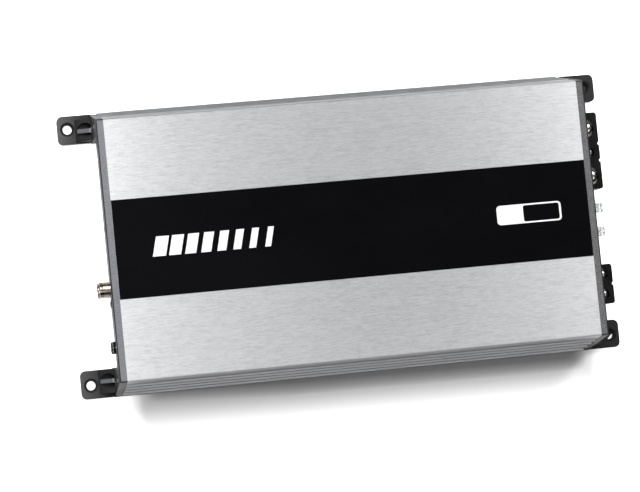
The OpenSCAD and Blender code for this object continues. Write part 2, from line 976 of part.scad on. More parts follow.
module ground_screw() {
    color([0.75, 0.75, 0.75])
        clamp_screw(pole_y[0], power_pole);
}

module remote_screw() {
    color([0.75, 0.75, 0.75])
        clamp_screw(pole_y[1], remote_pole);
}

module positive_screw() {
    color([0.75, 0.75, 0.75])
        clamp_screw(pole_y[2], power_pole);
}

module speaker_block() {
    color([0.04, 0.04, 0.045])
        difference() {
            union() {
                pole_housing([speaker_y[0], speaker_y[1]], [1]);
                pole_housing([speaker_y[1], speaker_y[2]], [0]);
            }
            for (y = speaker_pole_y)
                clamp_pocket(y, speaker_pole);
        }
}

module speaker_contacts() {
    color([0.8, 0.7, 0.45])
        for (y = speaker_pole_y)
            clamp_block(y, speaker_pole);
}

module speaker_negative_screw() {
    color([0.75, 0.75, 0.75])
        clamp_screw(speaker_pole_y[0], speaker_pole);
}

module speaker_positive_screw() {
    color([0.75, 0.75, 0.75])
        clamp_screw(speaker_pole_y[1], speaker_pole);
}

module fuse_socket() {
    color([0.04, 0.04, 0.045])
        difference() {
            union() {
                box([half_l - 12, panel_x + 2], socket_y, [board_top + 0.1, fuse_z + socket_half_z]);
                box(flange_x, [socket_y[0] - 2, socket_y[1] + 2],
                    [board_top, fuse_z + socket_half_z + 2]);
            }
            for (f = fuse_y) {
                bar_x([fuse_x - 0.1, panel_x + 3], f, fuse_z, fuse_t / 2 + fit, fuse_w / 2 + fit);
                for (s = [-1, 1])
                    bar_x([half_l - 13, fuse_x + 1], f, fuse_z + s * blade_z, clip_half[0] + play,
                        clip_half[1] + 0.1);
            }
        }
}

// Slotted clips for the fuse blades, with legs down to the board
module fuse_clips() {
    color([0.8, 0.72, 0.5])
        for (f = fuse_y, s = [-1, 1]) {
            z = fuse_z + s * blade_z;
            leg = half_l - 14.5 - s;
            difference() {
                bar_x(clip_x, f, z, clip_half[0], clip_half[1]);
                bar_x([clip_x[0] + 1.5, clip_x[1] + 1.4], f, z, 0.4, clip_half[1] + 0.3);
            }
            bar_x([leg, clip_x[0] + eps], f, z, 0.5, 1);
            box([leg, leg + 1], [f - 0.5, f + 0.5], [board_top, z + 1]);
        }
}

// Metal of a blade fuse: two blades joined by a thin link
module fuse_metal(y) {
    for (s = [-1, 1])
        bar_x(blade_x, y, fuse_z + s * blade_z, blade_half[0], blade_half[1]);
    bar_x([blade_x[1] - 1, blade_x[1]], y, fuse_z, blade_half[0], blade_z);
}

// A slim housing with a thicker rim at its outer end and a hollow in its face
module fuse_housing(y) {
    end = fuse_x + fuse_l;
    difference() {
        union() {
            bar_x([fuse_x, end - 1], y, fuse_z, rib_half, fuse_w / 2 - 0.8);
            bar_x([end - 4, end], y, fuse_z, fuse_t / 2, fuse_w / 2);
        }
        fuse_metal(y);
        bar_x([end - 1, end + 1], y, fuse_z, 1.5, 5.5);
    }
}

module fuse_1_housing() {
    color([0.85, 0.9, 0.92, 0.4])
        fuse_housing(fuse_y[0]);
}

module fuse_1_blades() {
    color([0.7, 0.7, 0.7])
        fuse_metal(fuse_y[0]);
}

module fuse_2_housing() {
    color([0.85, 0.9, 0.92, 0.4])
        fuse_housing(fuse_y[1]);
}

module fuse_2_blades() {
    color([0.7, 0.7, 0.7])
        fuse_metal(fuse_y[1]);
}

// A ring around +Z with a rectangular section, grown by extra on every side
module ring(at, r, z, extra = 0) {
    low = z[0] - extra;
    high = z[1] + extra;
    difference() {
        rod_z(at[0], at[1], [low, high], r[1] + extra);
        rod_z(at[0], at[1], [low - 1, high + 1], r[0] - extra);
    }
}

module toroid_core() {
    color([0.3, 0.35, 0.3])
        ring(toroid_at, toroid_core_r, toroid_core_z);
}

module toroid_winding() {
    color([0.72, 0.4, 0.2])
        difference() {
            ring(toroid_at, toroid_core_r, toroid_core_z, toroid_wire);
            ring(toroid_at, toroid_core_r, toroid_core_z);
        }
}

module inductor_core() {
    color([0.8, 0.75, 0.3])
        ring(inductor_at, inductor_core_r, inductor_core_z);
}

module inductor_winding() {
    color([0.72, 0.4, 0.2])
        difference() {
            ring(inductor_at, inductor_core_r, inductor_core_z, inductor_wire);
            ring(inductor_at, inductor_core_r, inductor_core_z);
        }
}

module supply_capacitors() {
    color([0.08, 0.1, 0.2])
        for (x = [84, 102], y = [22, 40])
            rod_z(x, y, [board_top, capacitor_top], supply_cap_r);
}

module rail_capacitors() {
    color([0.08, 0.1, 0.2])
        for (y = [-2, 18, 38])
            rod_z(-62, y, [board_top, capacitor_top], rail_cap_r);
}

// A transistor standing with its tab against the back wall
module mosfet(x) {
    sides = [x - fet_w / 2, x + fet_w / 2];
    tab_y = wall_grip_y - fet_tab_t;
    box(sides, [tab_y, wall_grip_y], [fet_z, fet_tab_top]);
    box(sides, [wall_grip_y - fet_t, tab_y + eps], [fet_z, fet_z + fet_body_h]);
    for (i = [-1, 0, 1])
        box([x + i * lead_pitch - 0.4, x + i * lead_pitch + 0.4],
            [wall_grip_y - 3, wall_grip_y - 2.5], [board_top, fet_z + eps]);
}

module supply_mosfets() {
    color([0.07, 0.07, 0.07])
        for (x = supply_fet_x)
            mosfet(x);
}

module output_mosfets() {
    color([0.07, 0.07, 0.07])
        mirror([0, 1, 0])
            for (x = output_fet_x)
                mosfet(x);
}

// A plate against the back wall, bored for the clamp screws at the X values in holes
module wall_plate(x, y, z, holes) {
    difference() {
        box(x, y, z);
        for (h = holes)
            translate([h, y[0] - 1, clamp_axis_z])
                rotate([-90, 0, 0])
                    cylinder(r = clamp_screw_r + fit, h = 3);
    }
}

module pad(x, holes) {
    wall_plate(x, [wall_grip_y, cavity_y], [fet_z - 1, fet_tab_top + 1.5], holes);
}

module thermal_pads() {
    color([0.6, 0.62, 0.6]) {
        pad([-24, 90], back_clamp_x);
        mirror([0, 1, 0])
            pad([-66, 34], front_clamp_x);
    }
}

module clamp_bar(x, holes) {
    y = wall_grip_y - fet_t;
    wall_plate(x, [y - clamp_t, y], [clamp_z, clamp_z + clamp_w], holes);
}

module clamp_bars() {
    color([0.5, 0.5, 0.52]) {
        clamp_bar([-22, 88], back_clamp_x);
        mirror([0, 1, 0])
            clamp_bar([-64, 32], front_clamp_x);
    }
}

module wall_screw(x) {
    head_h = 2;
    translate([x, wall_grip_y - fet_t - clamp_t - head_h, clamp_axis_z])
        rotate([-90, 0, 0])
            difference() {
                union() {
                    cylinder(r = 2.4, h = head_h);
                    cylinder(r = clamp_screw_r, h = 12);
                }
                cross_z(0, 0, [-1, 1], cross_l, cross_w);
            }
}

module clamp_screws() {
    color([0.6, 0.6, 0.6]) {
        for (x = back_clamp_x)
            wall_screw(x);
        mirror([0, 1, 0])
            for (x = front_clamp_x)
                wall_screw(x);
    }
}

module control_chips() {
    color([0.06, 0.06, 0.06])
        for (x = [-102, -84], y = [-30, 8])
            box([x - 4, x + 4], [y - 6, y + 6], [board_top, board_top + 2.4]);
}

heatsink_body();
top_trim_strip();
strip_bars();
strip_badge();
left_end_cap();
right_end_cap();
end_cap_screws();
input_panel();
power_panel();
panel_screws();
bottom_cover();
bottom_cover_screws();
main_board();
board_screws();
gain_board();
control_board();
rca_housing();
rca_shells();
rca_insulators();
rca_contacts();
rca_fixing_screw();
pot_bodies();
level_knob();
lowpass_knob();
bass_trimmer();
subsonic_trimmer();
phase_switch_body();
phase_switch_slider();
remote_socket();
remote_contacts();
power_led();
protect_led();
power_block();
power_contacts();
ground_screw();
remote_screw();
positive_screw();
speaker_block();
speaker_contacts();
speaker_negative_screw();
speaker_positive_screw();
fuse_socket();
fuse_clips();
fuse_1_housing();
fuse_1_blades();
fuse_2_housing();
fuse_2_blades();
toroid_core();
toroid_winding();
inductor_core();
inductor_winding();
supply_capacitors();
rail_capacitors();
supply_mosfets();
output_mosfets();
thermal_pads();
clamp_bars();
clamp_screws();
control_chips();
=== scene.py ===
"""Looks of a car audio amplifier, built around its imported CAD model. Metres, +Z up."""

import json
import math

import bmesh
import bpy
from mathutils import Matrix, Vector


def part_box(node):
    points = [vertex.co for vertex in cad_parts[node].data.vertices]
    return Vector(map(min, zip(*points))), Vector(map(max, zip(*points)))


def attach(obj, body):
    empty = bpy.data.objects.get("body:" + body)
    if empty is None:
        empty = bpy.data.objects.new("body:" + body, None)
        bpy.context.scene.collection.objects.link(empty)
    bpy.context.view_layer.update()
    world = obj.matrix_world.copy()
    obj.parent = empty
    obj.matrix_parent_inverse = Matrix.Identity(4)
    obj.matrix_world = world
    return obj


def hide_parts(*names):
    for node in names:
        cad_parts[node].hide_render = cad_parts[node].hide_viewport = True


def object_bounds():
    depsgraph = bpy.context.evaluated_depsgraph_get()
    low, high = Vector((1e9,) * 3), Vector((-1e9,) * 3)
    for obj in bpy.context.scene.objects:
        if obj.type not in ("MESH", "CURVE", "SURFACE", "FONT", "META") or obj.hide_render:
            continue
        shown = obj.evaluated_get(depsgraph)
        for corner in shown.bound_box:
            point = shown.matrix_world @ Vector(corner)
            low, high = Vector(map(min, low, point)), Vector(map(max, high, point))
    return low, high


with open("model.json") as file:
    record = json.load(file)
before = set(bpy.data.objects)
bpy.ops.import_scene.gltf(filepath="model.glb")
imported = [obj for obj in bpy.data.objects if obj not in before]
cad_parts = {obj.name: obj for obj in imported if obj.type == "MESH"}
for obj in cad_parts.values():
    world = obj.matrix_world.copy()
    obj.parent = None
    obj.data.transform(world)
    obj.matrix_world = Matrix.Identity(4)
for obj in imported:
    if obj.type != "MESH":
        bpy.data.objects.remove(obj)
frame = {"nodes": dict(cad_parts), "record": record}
cad_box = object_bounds()
nodes = frame["nodes"]
MM = 0.001
ROOT = "amplifier"
# Points closer than this are one point
WELD = 0.002 * MM


# ---------------------------------------------------------------- node helpers

class Shader:
    """A Principled material, with short calls for the nodes that feed it."""

    def __init__(self, name, colour, metallic, roughness, **sockets):
        self.mat = bpy.data.materials.new(name)
        self.mat.use_nodes = True
        self.tree = self.mat.node_tree
        self.bsdf = self.tree.nodes["Principled BSDF"]
        self.set(Base_Color=(*colour, 1.0), Metallic=metallic, Roughness=roughness, **sockets)
        self.coords = self.tree.nodes.new("ShaderNodeTexCoord").outputs["Object"]

    def set(self, **sockets):
        """Sets the shader's own sockets; _ stands for a space in a socket's name."""
        for name, value in sockets.items():
            self.bsdf.inputs[name.replace("_", " ")].default_value = value

    def node(self, kind, **values):
        """A new shader node with these settings."""
        n = self.tree.nodes.new("ShaderNode" + kind)
        for name, value in values.items():
            setattr(n, name, value)
        return n

    def link(self, output, socket):
        """Feeds a node's output into another node's input."""
        self.tree.links.new(output, socket)

    def noise(self, size, stretch=(1, 1, 1), detail=3.0):
        """Noise whose grains are about `size` metres, longer where stretch is over 1."""
        place = self.node("Mapping")
        place.inputs["Scale"].default_value = [1 / (size * s) for s in stretch]
        self.link(self.coords, place.inputs["Vector"])
        n = self.node("TexNoise")
        n.inputs["Scale"].default_value = 1.0
        n.inputs["Detail"].default_value = detail
        n.inputs["Roughness"].default_value = 0.55
        self.link(place.outputs["Vector"], n.inputs["Vector"])
        return n.outputs["Fac"]

    def spread(self, fac, low, high, start=0.35, end=0.65):
        """Maps start..end of a value to low..high."""
        n = self.node("MapRange")
        n.inputs["From Min"].default_value = start
        n.inputs["From Max"].default_value = end
        n.inputs["To Min"].default_value = low
        n.inputs["To Max"].default_value = high
        self.link(fac, n.inputs["Value"])
        return n.outputs["Result"]

    def blend(self, fac, a, b):
        """Colour a where fac is 0 and b where it is 1."""
        n = self.node("Mix", data_type="RGBA")
        self.link(fac, n.inputs["Factor"])
        # A Mix node's colours are its inputs 6 and 7 and its output 2
        for value, i in ((a, 6), (b, 7)):
            if isinstance(value, tuple):
                n.inputs[i].default_value = (*value, 1.0)
            else:
                self.link(value, n.inputs[i])
        return n.outputs[2]

    def bump(self, fac, height, strength):
        """A normal that tilts with a value, height metres from 0 to 1."""
        n = self.node("Bump")
        n.inputs["Distance"].default_value = height
        n.inputs["Strength"].default_value = strength
        self.link(fac, n.inputs["Height"])
        return n.outputs["Normal"]

    def along(self, axis):
        """The place along X, Y or Z, in metres."""
        split = self.node("SeparateXYZ")
        self.link(self.coords, split.inputs["Vector"])
        return split.outputs[axis]

    def height(self, low, high):
        """0 below the height low, 1 above high, in metres."""
        return self.spread(self.along("Z"), 0.0, 1.0, low, high)

    def facing_up(self, low, high):
        """0 where the normal's Z is below low, 1 where it is above high."""
        split = self.node("SeparateXYZ")
        self.link(self.node("NewGeometry").outputs["Normal"], split.inputs["Vector"])
        return self.spread(split.outputs["Z"], 0.0, 1.0, low, high)

    def maths(self, operation, a, b=None, c=None):
        """The result of a Math node on outputs and floats."""
        n = self.node("Math", operation=operation)
        for value, socket in zip((a, b, c), n.inputs):
            if isinstance(value, float):
                socket.default_value = value
            elif value is not None:
                self.link(value, socket)
        return n.outputs[0]

    def edges(self, radius):
        """1 near convex and concave edges, 0 on flat faces."""
        rounded = self.node("Bevel")
        rounded.inputs["Radius"].default_value = radius
        flat = self.node("NewGeometry")
        likeness = self.node("VectorMath", operation="DOT_PRODUCT")
        self.link(rounded.outputs["Normal"], likeness.inputs[0])
        self.link(flat.outputs["Normal"], likeness.inputs[1])
        at_edge, on_face = 0.72, 0.97
        return self.spread(likeness.outputs["Value"], 1.0, 0.0, at_edge, on_face)

    def finish(self, colour=None, roughness=None, normal=None):
        """Feeds what is given into the shader, and returns the material."""
        if colour is not None:
            self.link(colour, self.bsdf.inputs["Base Color"])
        if roughness is not None:
            self.link(roughness, self.bsdf.inputs["Roughness"])
        if normal is not None:
            self.link(normal, self.bsdf.inputs["Normal"])
        return self.mat


# ---------------------------------------------------------------- materials

def brushed_aluminium():
    """Aluminium brushed along X and light on top; painted shade darkens the sides, most low down, and
    painted light brightens their upward faces.
    """
    s = Shader("brushed_aluminium", (0.58, 0.585, 0.595), 1.0, 0.33, Anisotropic=0.85)
    grain = s.noise(0.42 * MM, (9, 1, 1), 4)
    streak = s.noise(0.6 * MM, (22, 1, 1))
    speck = s.noise(0.4 * MM, (1.5, 1, 1), 2)
    dark_line, light_line = (0.37, 0.377, 0.387), (0.69, 0.695, 0.705)
    long_line, glint = (0.66, 0.664, 0.674), (0.88, 0.885, 0.895)
    brushed = s.blend(s.spread(grain, 0, 1, 0.25, 0.75), dark_line, light_line)
    brushed = s.blend(s.spread(streak, 0.0, 0.5), brushed, long_line)
    brushed = s.blend(s.spread(speck, 0, 0.36, 0.3, 0.7), brushed, glint)
    # Painted shade: upright faces of the sides are dark, darkest below 38 mm, and faces turned up carry
    # painted light
    painted_shade_low, painted_shade_high, slanted = (0.055, 0.056, 0.059), (0.24, 0.243, 0.25), (0.46, 0.465, 0.475)
    painted_shade_upright = s.blend(s.height(38 * MM, 45.4 * MM), painted_shade_low, painted_shade_high)
    sides = s.blend(s.facing_up(0.3, 0.98), painted_shade_upright, slanted)
    colour = s.blend(s.height(45.6 * MM, 45.95 * MM), sides, brushed)
    across = s.node("CombineXYZ")
    across.inputs["Y"].default_value = 1.0
    s.link(across.outputs["Vector"], s.bsdf.inputs["Tangent"])
    return s.finish(colour, s.spread(streak, 0.31, 0.35), s.bump(speck, 0.006 * MM, 0.15))


def gloss_black():
    """Smooth black film with a faint haze."""
    s = Shader("gloss_black", (0.003, 0.003, 0.004), 0.0, 0.14, Specular_IOR_Level=0.02)
    haze = s.noise(18 * MM, (2, 1, 1), 4)
    peel = s.noise(2.5 * MM, detail=1)
    colour = s.blend(haze, (0.0025, 0.0025, 0.003), (0.004, 0.004, 0.005))
    return s.finish(colour, s.spread(haze, 0.1, 0.18), s.bump(peel, 0.02 * MM, 0.15))


def mark_white():
    """White printing ink."""
    s = Shader("mark_white", (0.85, 0.85, 0.85), 0.0, 0.4)
    grain = s.noise(0.4 * MM)
    colour = s.blend(grain, (0.8, 0.8, 0.8), (0.9, 0.9, 0.9))
    return s.finish(colour, s.spread(grain, 0.35, 0.5), s.bump(grain, 0.02 * MM, 0.2))


def cast_grey():
    """Cast end caps with a speckled lip; painted shade darkens the walls, the lip's outer brink, the
    right-hand ears and each ear near the cap, painted light lightens the left lip, and a painted highlight
    runs along each ear's rib.
    """
    s = Shader("cast_grey", (0.05, 0.05, 0.055), 0.0, 0.45, Specular_IOR_Level=0.12)
    grit = s.noise(0.28 * MM)
    coarse = s.noise(0.55 * MM)
    patch = s.noise(14 * MM)
    # Painted shade: faces that are not level take these dark wall colours, the upright ones darkest
    slanted = s.blend(s.spread(patch, 0, 1), (0.021, 0.021, 0.022), (0.029, 0.029, 0.03))
    walls = s.blend(s.facing_up(0.3, 0.7), (0.008, 0.008, 0.0085), slanted)

    # Painted shade: each ear darkens from the left cap's outer end over 14 mm towards the cap, so the
    # right-hand ears are dark all over
    ear_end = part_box("left_end_cap")[0][0]
    ear_shade_fade = s.spread(s.along("X"), 0, 1, ear_end, ear_end + 14 * MM)
    ear = s.blend(ear_shade_fade, (0.09, 0.09, 0.09), (0.024, 0.0235, 0.023))
    # Painted highlight along the top edge of the rib on each ear
    rib_y = cad_box[1][1] - 9.2 * MM
    from_rib = s.maths("ABSOLUTE", s.maths("SUBTRACT", s.maths("ABSOLUTE", s.along("Y")), rib_y))
    rib_top = s.height(5.0 * MM, 5.6 * MM)
    rib_painted_highlight = s.maths("MULTIPLY", s.spread(from_rib, 1, 0, 1.1 * MM, 1.5 * MM), rib_top)
    ear = s.blend(rib_painted_highlight, ear, (0.3, 0.305, 0.32))

    # Painted light and shade: the lip and its coarse speckle are lighter on the left cap and darker on the
    # right
    left_lit_right_shaded = s.spread(s.along("X"), 0, 1, -100 * MM, 100 * MM)
    lip = s.blend(left_lit_right_shaded, (0.14, 0.144, 0.157), (0.07, 0.069, 0.069))
    glint = s.blend(left_lit_right_shaded, (0.26, 0.265, 0.285), (0.22, 0.22, 0.228))
    lip = s.blend(s.spread(coarse, 0.0, 0.6), lip, glint)
    cap_wall = 4 * MM
    lip_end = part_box("heatsink_body")[1][0] + cap_wall
    # Painted shade: a dark line along the outer brink of each lip
    brink_painted_shade = s.spread(s.maths("ABSOLUTE", s.along("X")), 0, 1, lip_end - 0.75 * MM, lip_end - 0.5 * MM)
    lip = s.blend(brink_painted_shade, lip, (0.015, 0.015, 0.016))

    # Level faces show the ear and lip colours, all others the painted shade of the walls
    level = s.maths("MULTIPLY", s.facing_up(0.6, 0.97), s.facing_up(0.9, 0.999))
    colour = s.blend(level, walls, s.blend(s.height(30 * MM, 40 * MM), ear, lip))
    return s.finish(colour, s.spread(patch, 0.42, 0.54), s.bump(grit, 0.03 * MM, 0.5))


def satin_black(name, colour, grain, roughness, gloss=0.35):
    """Dark plastic or paint that is a little lighter in patches and along its edges."""
    s = Shader(name, colour, 0.0, roughness, Specular_IOR_Level=gloss)
    fine = s.noise(grain)
    patch = s.noise(9 * MM)
    lighter = tuple(c * 1.5 + 0.001 for c in colour)
    rubbed = tuple(c + 0.006 for c in colour)
    tint = s.blend(s.spread(patch, 0, 1), colour, lighter)
    worn = s.blend(s.edges(0.3 * MM), tint, rubbed)
    rough = s.spread(patch, roughness - 0.06, roughness + 0.08)
    return s.finish(worn, rough, s.bump(fine, 0.03 * MM, 0.3))


def plated(name, colour, roughness):
    """Plated or bare metal with duller stains."""
    s = Shader(name, colour, 1.0, roughness)
    fine = s.noise(0.25 * MM, detail=4)
    stain = s.noise(3 * MM, detail=4)
    dull = tuple(c * 0.72 for c in colour)
    tint = s.blend(s.spread(stain, 0, 0.7), colour, dull)
    rough = s.spread(stain, roughness - 0.06, roughness + 0.14)
    return s.finish(tint, rough, s.bump(fine, 0.002 * MM, 0.2))


def clear_plastic():
    """Clear moulded plastic with faint flow lines."""
    s = Shader("clear_plastic", (0.93, 0.96, 0.97), 0.0, 0.06, IOR=1.5, Transmission_Weight=0.92)
    flow = s.noise(3 * MM, (1, 1, 3), 2)
    return s.finish(None, s.spread(flow, 0.03, 0.12), s.bump(flow, 0.05 * MM, 0.2))


def lamp_lens(name, colour):
    """A tinted lamp body."""
    s = Shader(name, colour, 0.0, 0.1, IOR=1.5, Transmission_Weight=0.7)
    flow = s.noise(1.2 * MM, detail=2)
    return s.finish(None, s.spread(flow, 0.06, 0.16), s.bump(flow, 0.02 * MM, 0.2))


def moulded(name, colour, roughness, grain=0.4 * MM):
    """Plain moulded plastic, sleeve or ceramic with slightly darker patches."""
    s = Shader(name, colour, 0.0, roughness)
    fine = s.noise(grain)
    patch = s.noise(6 * MM)
    darker = tuple(c * 0.86 for c in colour)
    tint = s.blend(s.spread(patch, 0, 1), darker, colour)
    return s.finish(tint, s.spread(patch, roughness - 0.08, roughness + 0.1), s.bump(fine, 0.03 * MM, 0.3))


def circuit_board():
    """Green board with tracks that show through the lacquer."""
    s = Shader("circuit_board", (0.03, 0.16, 0.07), 0.0, 0.3)
    weave = s.noise(0.5 * MM, detail=1)
    tracks = s.node("TexBrick", offset=0.37, squash=1.6)
    tracks.inputs["Scale"].default_value = 1.0
    for name, value in (("Mortar Size", 0.7 * MM), ("Brick Width", 11 * MM), ("Row Height", 3.5 * MM),
                        ("Color1", (0.025, 0.13, 0.055, 1)), ("Color2", (0.035, 0.19, 0.08, 1)),
                        ("Mortar", (0.015, 0.09, 0.04, 1))):
        tracks.inputs[name].default_value = value
    s.link(s.coords, tracks.inputs["Vector"])
    return s.finish(tracks.outputs["Color"], s.spread(weave, 0.25, 0.4), s.bump(weave, 0.02 * MM, 0.3))


MATERIALS = {
    "silver_aluminium": brushed_aluminium(),
    "black_gloss": gloss_black(),
    "white_mark": mark_white(),
    "cast_cap": cast_grey(),
    "black_screw": plated("black_zinc", (0.05, 0.05, 0.052), 0.38),
    "panel_black": satin_black("panel_black", (0.014, 0.014, 0.015), 0.3 * MM, 0.45),
    "cover_steel": satin_black("cover_steel", (0.02, 0.02, 0.021), 0.8 * MM, 0.5),
    "zinc_screw": plated("zinc", (0.7, 0.7, 0.7), 0.26),
    "nickel": plated("nickel", (0.27, 0.23, 0.205), 0.2),
    "board_green": circuit_board(),
    "black_plastic": satin_black("black_plastic", (0.002, 0.002, 0.0024), 0.35 * MM, 0.4, 0.13),
    "white_plastic": moulded("white_plastic", (0.8, 0.8, 0.77), 0.4),
    "pot_blue": moulded("pot_blue", (0.06, 0.14, 0.4), 0.4),
    "knob_black": satin_black("knob_black", (0.003, 0.003, 0.003), 0.3 * MM, 0.4, 0.1),
    "gold_contact": plated("gold", (0.9, 0.68, 0.3), 0.18),
    "led_blue": lamp_lens("led_blue", (0.2, 0.4, 0.95)),
    "led_red": lamp_lens("led_red", (0.95, 0.12, 0.1)),
    "nickel_brass": plated("nickel_brass", (0.8, 0.75, 0.67), 0.3),
    "fuse_clear": clear_plastic(),
    "fuse_metal": plated("tin", (0.75, 0.75, 0.76), 0.25),
    "ferrite": moulded("ferrite", (0.07, 0.08, 0.07), 0.7, 0.6 * MM),
    "copper": plated("copper", (0.75, 0.36, 0.16), 0.25),
    "capacitor_sleeve": moulded("capacitor_sleeve", (0.03, 0.035, 0.1), 0.3),
    "transistor": moulded("transistor", (0.03, 0.03, 0.03), 0.6, 0.3 * MM),
    "pad_grey": moulded("pad_grey", (0.45, 0.47, 0.5), 0.8, 0.3 * MM),
}


# ---------------------------------------------------------------- CAD nodes

SLOTS = {part["node"]: part["material_slot"] for part in frame["record"]["subparts"]}
# Width of the rounding on each node's edges, in mm, where it isn't the usual one
ROUNDING = {"left_end_cap": 0.6, "right_end_cap": 0.6, "strip_bars": 0.05, "strip_badge": 0.05,
            "remote_contacts": 0.06}
USUAL_ROUNDING = 0.18


def round_edges(obj, width, segments, angle):
    """Rounds edges that turn by more than an angle in degrees; width is in metres."""
    bevel = obj.modifiers.new("bevel", "BEVEL")
    bevel.width = width
    bevel.segments = segments
    bevel.limit_method = "ANGLE"
    bevel.angle_limit = math.radians(angle)
    bevel.harden_normals = True


def dress(name):
    """Rounds a CAD node's edges with modifiers and gives it its slot's material."""
    obj = nodes[name]
    weld = obj.modifiers.new("weld", "WELD")
    weld.merge_threshold = WELD
    flat = obj.modifiers.new("flat", "DECIMATE")
    flat.decimate_type = "DISSOLVE"
    flat.angle_limit = math.radians(0.5)
    round_edges(obj, ROUNDING.get(name, USUAL_ROUNDING) * MM, 3, 38)
    obj.data.materials.clear()
    obj.data.materials.append(MATERIALS[SLOTS[name]])


for node_name in nodes:
    dress(node_name)


# ---------------------------------------------------------------- mesh helpers

def solids(name):
    """The lowest and highest corners of each separate solid of a CAD node."""
    bm = bmesh.new()
    bm.from_mesh(nodes[name].data)
    bmesh.ops.remove_doubles(bm, verts=bm.verts, dist=WELD)
    left, boxes = set(bm.verts), []
    while left:
        todo = [left.pop()]
        points = []
        while todo:
            vert = todo.pop()
            points.append(vert.co)
            near = {e.other_vert(vert) for e in vert.link_edges} & left
            left -= near
            todo.extend(near)
        boxes.append([Vector([f(p[i] for p in points) for i in range(3)]) for f in (min, max)])
    bm.free()
    return sorted(boxes, key=lambda box: tuple(round(v, 5) for v in box[0]))


def node_box(name):
    """A node's lowest and highest corners, as vectors."""
    return [Vector(corner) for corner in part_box(name)]


def middle(box):
    """The centre of a box given by two corners."""
    return (box[0] + box[1]) / 2


def aim(place, direction):
    """A matrix that puts local +Z along the direction, at the place."""
    turn = Vector(direction).to_track_quat("Z", "X").to_matrix().to_4x4()
    return Matrix.Translation(place) @ turn


def lathe(bm, profile, matrix=Matrix(), steps=48, ripple=None):
    """Turns (radius, height) points round local Z; ripple(angle, radius) may change a radius."""
    rings = []
    for radius, height in profile:
        count = 1 if radius == 0 else steps
        ring = []
        for i in range(count):
            angle = math.tau * i / steps
            r = ripple(angle, radius) if ripple and radius else radius
            ring.append(bm.verts.new(matrix @ Vector((r * math.cos(angle), r * math.sin(angle), height))))
        rings.append(ring)
    for low, high in zip(rings, rings[1:]):
        for i in range(steps):
            j = (i + 1) % steps
            corners = [low[i % len(low)], low[j % len(low)], high[j % len(high)], high[i % len(high)]]
            bm.faces.new(list(dict.fromkeys(corners)))


def prism(bm, outline, low, high, matrix=Matrix(), taper=1.0):
    """A closed prism over an outline in X and Y, its lower end scaled by taper."""
    ends = [[bm.verts.new(matrix @ Vector((x * k, y * k, z))) for x, y in outline]
            for z, k in ((low, taper), (high, 1.0))]
    bm.faces.new(ends[0][::-1])
    bm.faces.new(ends[1])
    count = len(outline)
    for i in range(count):
        j = (i + 1) % count
        bm.faces.new((ends[0][i], ends[0][j], ends[1][j], ends[1][i]))


def block(bm, low, high):
    """A box between two corners."""
    outline = [(low[0], low[1]), (high[0], low[1]), (high[0], high[1]), (low[0], high[1])]
    prism(bm, outline, low[2], high[2])


def arc(centre, radius, start, end, count):
    """Points of a rounded corner in a plane, in count steps between two angles in degrees."""
    angles = [math.radians(start + (end - start) * i / count) for i in range(count + 1)]
    return [(centre[0] + radius * math.cos(a), centre[1] + radius * math.sin(a)) for a in angles]


def rectangle(half_length, half_width):
    """Outline of a rectangle about the origin, long way along X."""
    return [(-half_length, -half_width), (half_length, -half_width),
            (half_length, half_width), (-half_length, half_width)]


def rounded_rectangle(low, high, r, count):
    """Outline of a rectangle between two corners, each corner rounded in count steps."""
    left, bottom, right, top = low[0] + r, low[1] + r, high[0] - r, high[1] - r
    return [*arc((right, top), r, 0, 90, count), *arc((left, top), r, 90, 180, count),
            *arc((left, bottom), r, 180, 270, count), *arc((right, bottom), r, 270, 360, count)]


def to_mesh(name, bm):
    """A mesh from finished mesh code, its faces turned outwards."""
    bmesh.ops.recalc_face_normals(bm, faces=bm.faces)
    mesh = bpy.data.meshes.new(name)
    bm.to_mesh(mesh)
    bm.free()
    return mesh


def carve(mesh, cutter):
    """The mesh with the cutter's volume taken away."""
    body, tool = (bpy.data.objects.new(m.name, m) for m in (mesh, cutter))
    for obj in (body, tool):
        bpy.context.scene.collection.objects.link(obj)
    cut = body.modifiers.new("cut", "BOOLEAN")
    cut.object = tool
    cut.operation = "DIFFERENCE"
    cut.solver = "EXACT"
    graph = bpy.context.evaluated_depsgraph_get()
    result = bpy.data.meshes.new_from_object(body.evaluated_get(graph))
    for obj in (body, tool):
        bpy.data.objects.remove(obj)
    return result


def piece(name, mesh, slot, body=ROOT, replaces=(), bevel=0.0):
    """A finished piece that rides on a body; bevel is the width of its rounding in metres."""
    obj = bpy.data.objects.new(name, mesh)
    bpy.context.scene.collection.objects.link(obj)
    mesh.materials.clear()
    mesh.materials.append(MATERIALS[slot])
    mesh.shade_smooth()
    mesh.set_sharp_from_angle(angle=math.radians(35))
    if bevel:
        round_edges(obj, bevel, 2, 35)
    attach(obj, body)
    if replaces:
        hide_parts(*replaces)


# ---------------------------------------------------------------- screws

def cross(arm, half_width):
    """Outline of a cross recess."""
    a, w = arm, half_width
    return [(a, -w), (a, w), (w, w), (w, a), (-w, a), (-w, w), (-a, w), (-a, -w),
            (-w, -w), (-w, -a), (w, -a), (w, -w)]


def thread(radius, top, length, pitch):
    """(radius, height) points down a threaded shank that ends in a small cone."""
    root = radius - 0.3 * pitch
    points = [(root, top)]
    turns = max(int((length - radius) / pitch), 1)
    for i in range(turns):
        z = top - (i + 0.5) * pitch
        points += [(radius, z), (root, z - 0.5 * pitch)]
    return points + [(0, top - length)]


